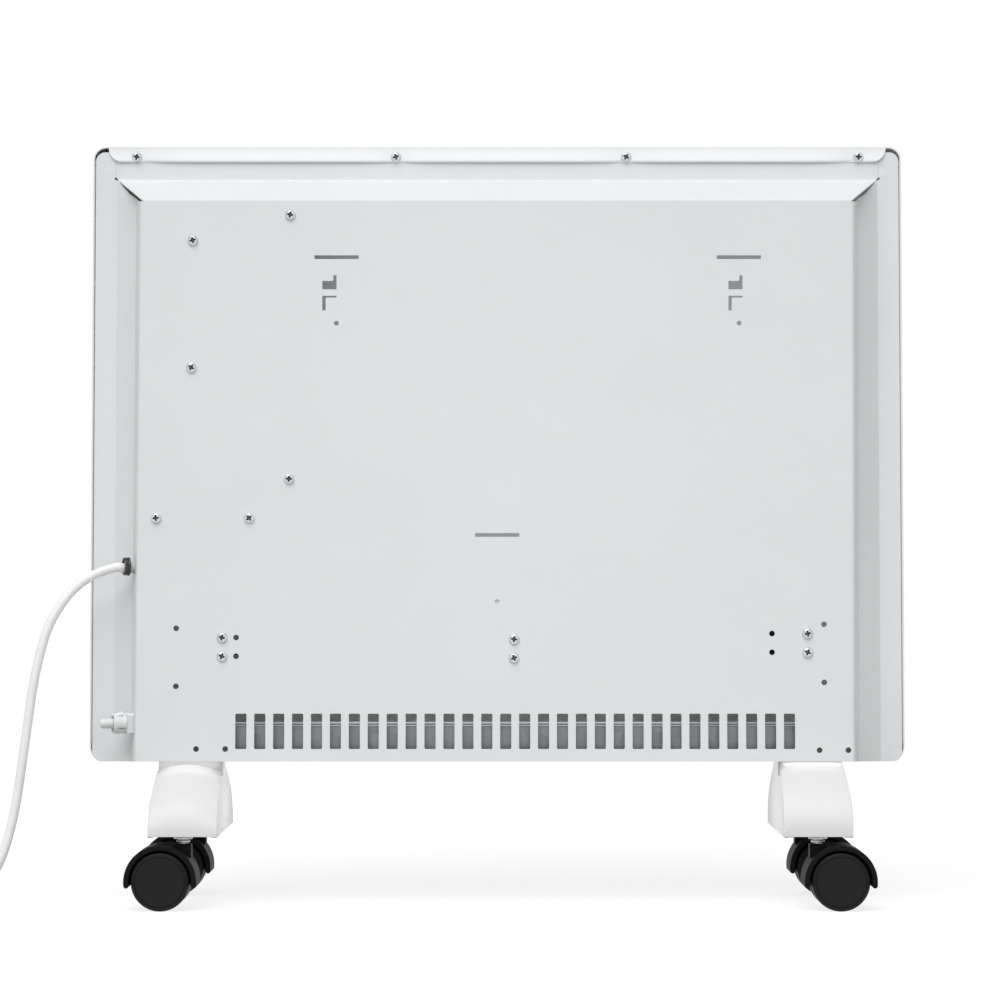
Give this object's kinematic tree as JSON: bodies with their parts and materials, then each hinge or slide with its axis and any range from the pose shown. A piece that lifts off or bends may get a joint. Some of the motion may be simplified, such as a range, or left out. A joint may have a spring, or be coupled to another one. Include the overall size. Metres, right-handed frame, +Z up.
{
  "type": "wall panel convector heater",
  "caption": "White steel panel convector heater with a stepped back plate, wall hook slots, intake slots, a supply lead and plastic feet on twin-wheel castors.",
  "frame": {"origin": "on the floor under the middle of the heater, between the feet", "axes": "+X to the right in a view of its front, so to the left in a view of its back; +Y to its rear; +Z up"},
  "size_m": [0.755, 0.156, 0.534],
  "materials": {
    "panel_enamel": "satin powder coat",
    "housing_enamel": "satin powder coat",
    "galvanised": "dull zinc",
    "inner_steel": "plain sheet",
    "fin_aluminium": "anodised",
    "insulation": "matt",
    "box_plastic": "matt",
    "board": "solder mask",
    "white_plastic": "fine satin",
    "grille_plastic": "matt",
    "window": "gloss",
    "key_plastic": "satin",
    "black_plastic": "satin",
    "wire_sleeve": "soft",
    "cord_sleeve": "soft satin",
    "tie_plastic": "soft",
    "plug_plastic": "satin",
    "plated_pin": "bright nickel",
    "screw_zinc": "bright zinc",
    "stem_steel": "bright zinc",
    "wheel_plastic": "satin"
  },
  "bodies": {
    "heater": {"front_panel": "panel_enamel", "outlet_grille": "grille_plastic", "rear_housing": "housing_enamel", "bottom_plate": "inner_steel", "intake_baffle": "galvanised", "heating_element": "fin_aluminium", "element_bracket_1": "inner_steel", "element_bracket_2": "inner_steel", "element_bracket_3": "inner_steel", "insulator_1": "insulation", "insulator_2": "insulation", "insulator_3": "insulation", "thermal_cutout": "box_plastic", "control_box": "box_plastic", "power_board": "board", "control_fascia": "white_plastic", "display_window": "window", "display_board": "board", "terminal_block": "insulation", "tip_switch": "black_plastic", "internal_wiring": "wire_sleeve", "sensor_holder": "white_plastic", "sensor_probe": "white_plastic", "cable_gland": "black_plastic", "cord_lead": "cord_sleeve", "cord_coil": "cord_sleeve", "coil_tie": "tie_plastic", "plug_body": "plug_plastic", "plug_pins": "plated_pin", "case_screws": "screw_zinc", "top_screws": "screw_zinc", "foot_screws": "screw_zinc", "foot_right_shell": "white_plastic", "foot_left_shell": "white_plastic", "castor_right_rear_stem": "stem_steel", "castor_right_front_stem": "stem_steel", "castor_left_rear_stem": "stem_steel", "castor_left_front_stem": "stem_steel"},
    "key_1": {"key_1": "key_plastic"},
    "key_2": {"key_2": "key_plastic"},
    "key_3": {"key_3": "key_plastic"},
    "key_4": {"key_4": "key_plastic"},
    "castor_right_rear_swivel": {"castor_right_rear_hood": "black_plastic", "castor_right_rear_axle": "stem_steel"},
    "castor_right_rear_wheel_a": {"castor_right_rear_wheel_a": "wheel_plastic"},
    "castor_right_rear_wheel_b": {"castor_right_rear_wheel_b": "wheel_plastic"},
    "castor_right_front_swivel": {"castor_right_front_hood": "black_plastic", "castor_right_front_axle": "stem_steel"},
    "castor_right_front_wheel_a": {"castor_right_front_wheel_a": "wheel_plastic"},
    "castor_right_front_wheel_b": {"castor_right_front_wheel_b": "wheel_plastic"},
    "castor_left_rear_swivel": {"castor_left_rear_hood": "black_plastic", "castor_left_rear_axle": "stem_steel"},
    "castor_left_rear_wheel_a": {"castor_left_rear_wheel_a": "wheel_plastic"},
    "castor_left_rear_wheel_b": {"castor_left_rear_wheel_b": "wheel_plastic"},
    "castor_left_front_swivel": {"castor_left_front_hood": "black_plastic", "castor_left_front_axle": "stem_steel"},
    "castor_left_front_wheel_a": {"castor_left_front_wheel_a": "wheel_plastic"},
    "castor_left_front_wheel_b": {"castor_left_front_wheel_b": "wheel_plastic"}
  },
  "joints": [
    {"name": "key_1_press", "type": "slide", "parent": "heater", "child": "key_1", "axis": [0, 1, 0], "range_m": [0, 0.0006], "stiffness_N_per_m": 1500},
    {"name": "key_2_press", "type": "slide", "parent": "heater", "child": "key_2", "axis": [0, 1, 0], "range_m": [0, 0.0006], "stiffness_N_per_m": 1500},
    {"name": "key_3_press", "type": "slide", "parent": "heater", "child": "key_3", "axis": [0, 1, 0], "range_m": [0, 0.0006], "stiffness_N_per_m": 1500},
    {"name": "key_4_press", "type": "slide", "parent": "heater", "child": "key_4", "axis": [0, 1, 0], "range_m": [0, 0.0006], "stiffness_N_per_m": 1500},
    {"name": "castor_right_rear_swivel_turn", "type": "hinge", "parent": "heater", "child": "castor_right_rear_swivel", "pos_m": [0.216, 0.06, 0.045], "axis": [0, 0, 1], "continuous": true},
    {"name": "castor_right_rear_wheel_a_roll", "type": "hinge", "parent": "castor_right_rear_swivel", "child": "castor_right_rear_wheel_a", "pos_m": [0.2305, 0.06, 0.02], "axis": [0, 1, 0], "continuous": true},
    {"name": "castor_right_rear_wheel_b_roll", "type": "hinge", "parent": "castor_right_rear_swivel", "child": "castor_right_rear_wheel_b", "pos_m": [0.2305, 0.06, 0.02], "axis": [0, 1, 0], "continuous": true},
    {"name": "castor_right_front_swivel_turn", "type": "hinge", "parent": "heater", "child": "castor_right_front_swivel", "pos_m": [0.216, -0.06, 0.045], "axis": [0, 0, 1], "continuous": true},
    {"name": "castor_right_front_wheel_a_roll", "type": "hinge", "parent": "castor_right_front_swivel", "child": "castor_right_front_wheel_a", "pos_m": [0.2305, -0.06, 0.02], "axis": [0, 1, 0], "continuous": true},
    {"name": "castor_right_front_wheel_b_roll", "type": "hinge", "parent": "castor_right_front_swivel", "child": "castor_right_front_wheel_b", "pos_m": [0.2305, -0.06, 0.02], "axis": [0, 1, 0], "continuous": true},
    {"name": "castor_left_rear_swivel_turn", "type": "hinge", "parent": "heater", "child": "castor_left_rear_swivel", "pos_m": [-0.2205, 0.06, 0.045], "axis": [0, 0, 1], "continuous": true},
    {"name": "castor_left_rear_wheel_a_roll", "type": "hinge", "parent": "castor_left_rear_swivel", "child": "castor_left_rear_wheel_a", "pos_m": [-0.235, 0.06, 0.02], "axis": [0, 1, 0], "continuous": true},
    {"name": "castor_left_rear_wheel_b_roll", "type": "hinge", "parent": "castor_left_rear_swivel", "child": "castor_left_rear_wheel_b", "pos_m": [-0.235, 0.06, 0.02], "axis": [0, 1, 0], "continuous": true},
    {"name": "castor_left_front_swivel_turn", "type": "hinge", "parent": "heater", "child": "castor_left_front_swivel", "pos_m": [-0.2205, -0.06, 0.045], "axis": [0, 0, 1], "continuous": true},
    {"name": "castor_left_front_wheel_a_roll", "type": "hinge", "parent": "castor_left_front_swivel", "child": "castor_left_front_wheel_a", "pos_m": [-0.235, -0.06, 0.02], "axis": [0, 1, 0], "continuous": true},
    {"name": "castor_left_front_wheel_b_roll", "type": "hinge", "parent": "castor_left_front_swivel", "child": "castor_left_front_wheel_b", "pos_m": [-0.235, -0.06, 0.02], "axis": [0, 1, 0], "continuous": true}
  ]
}
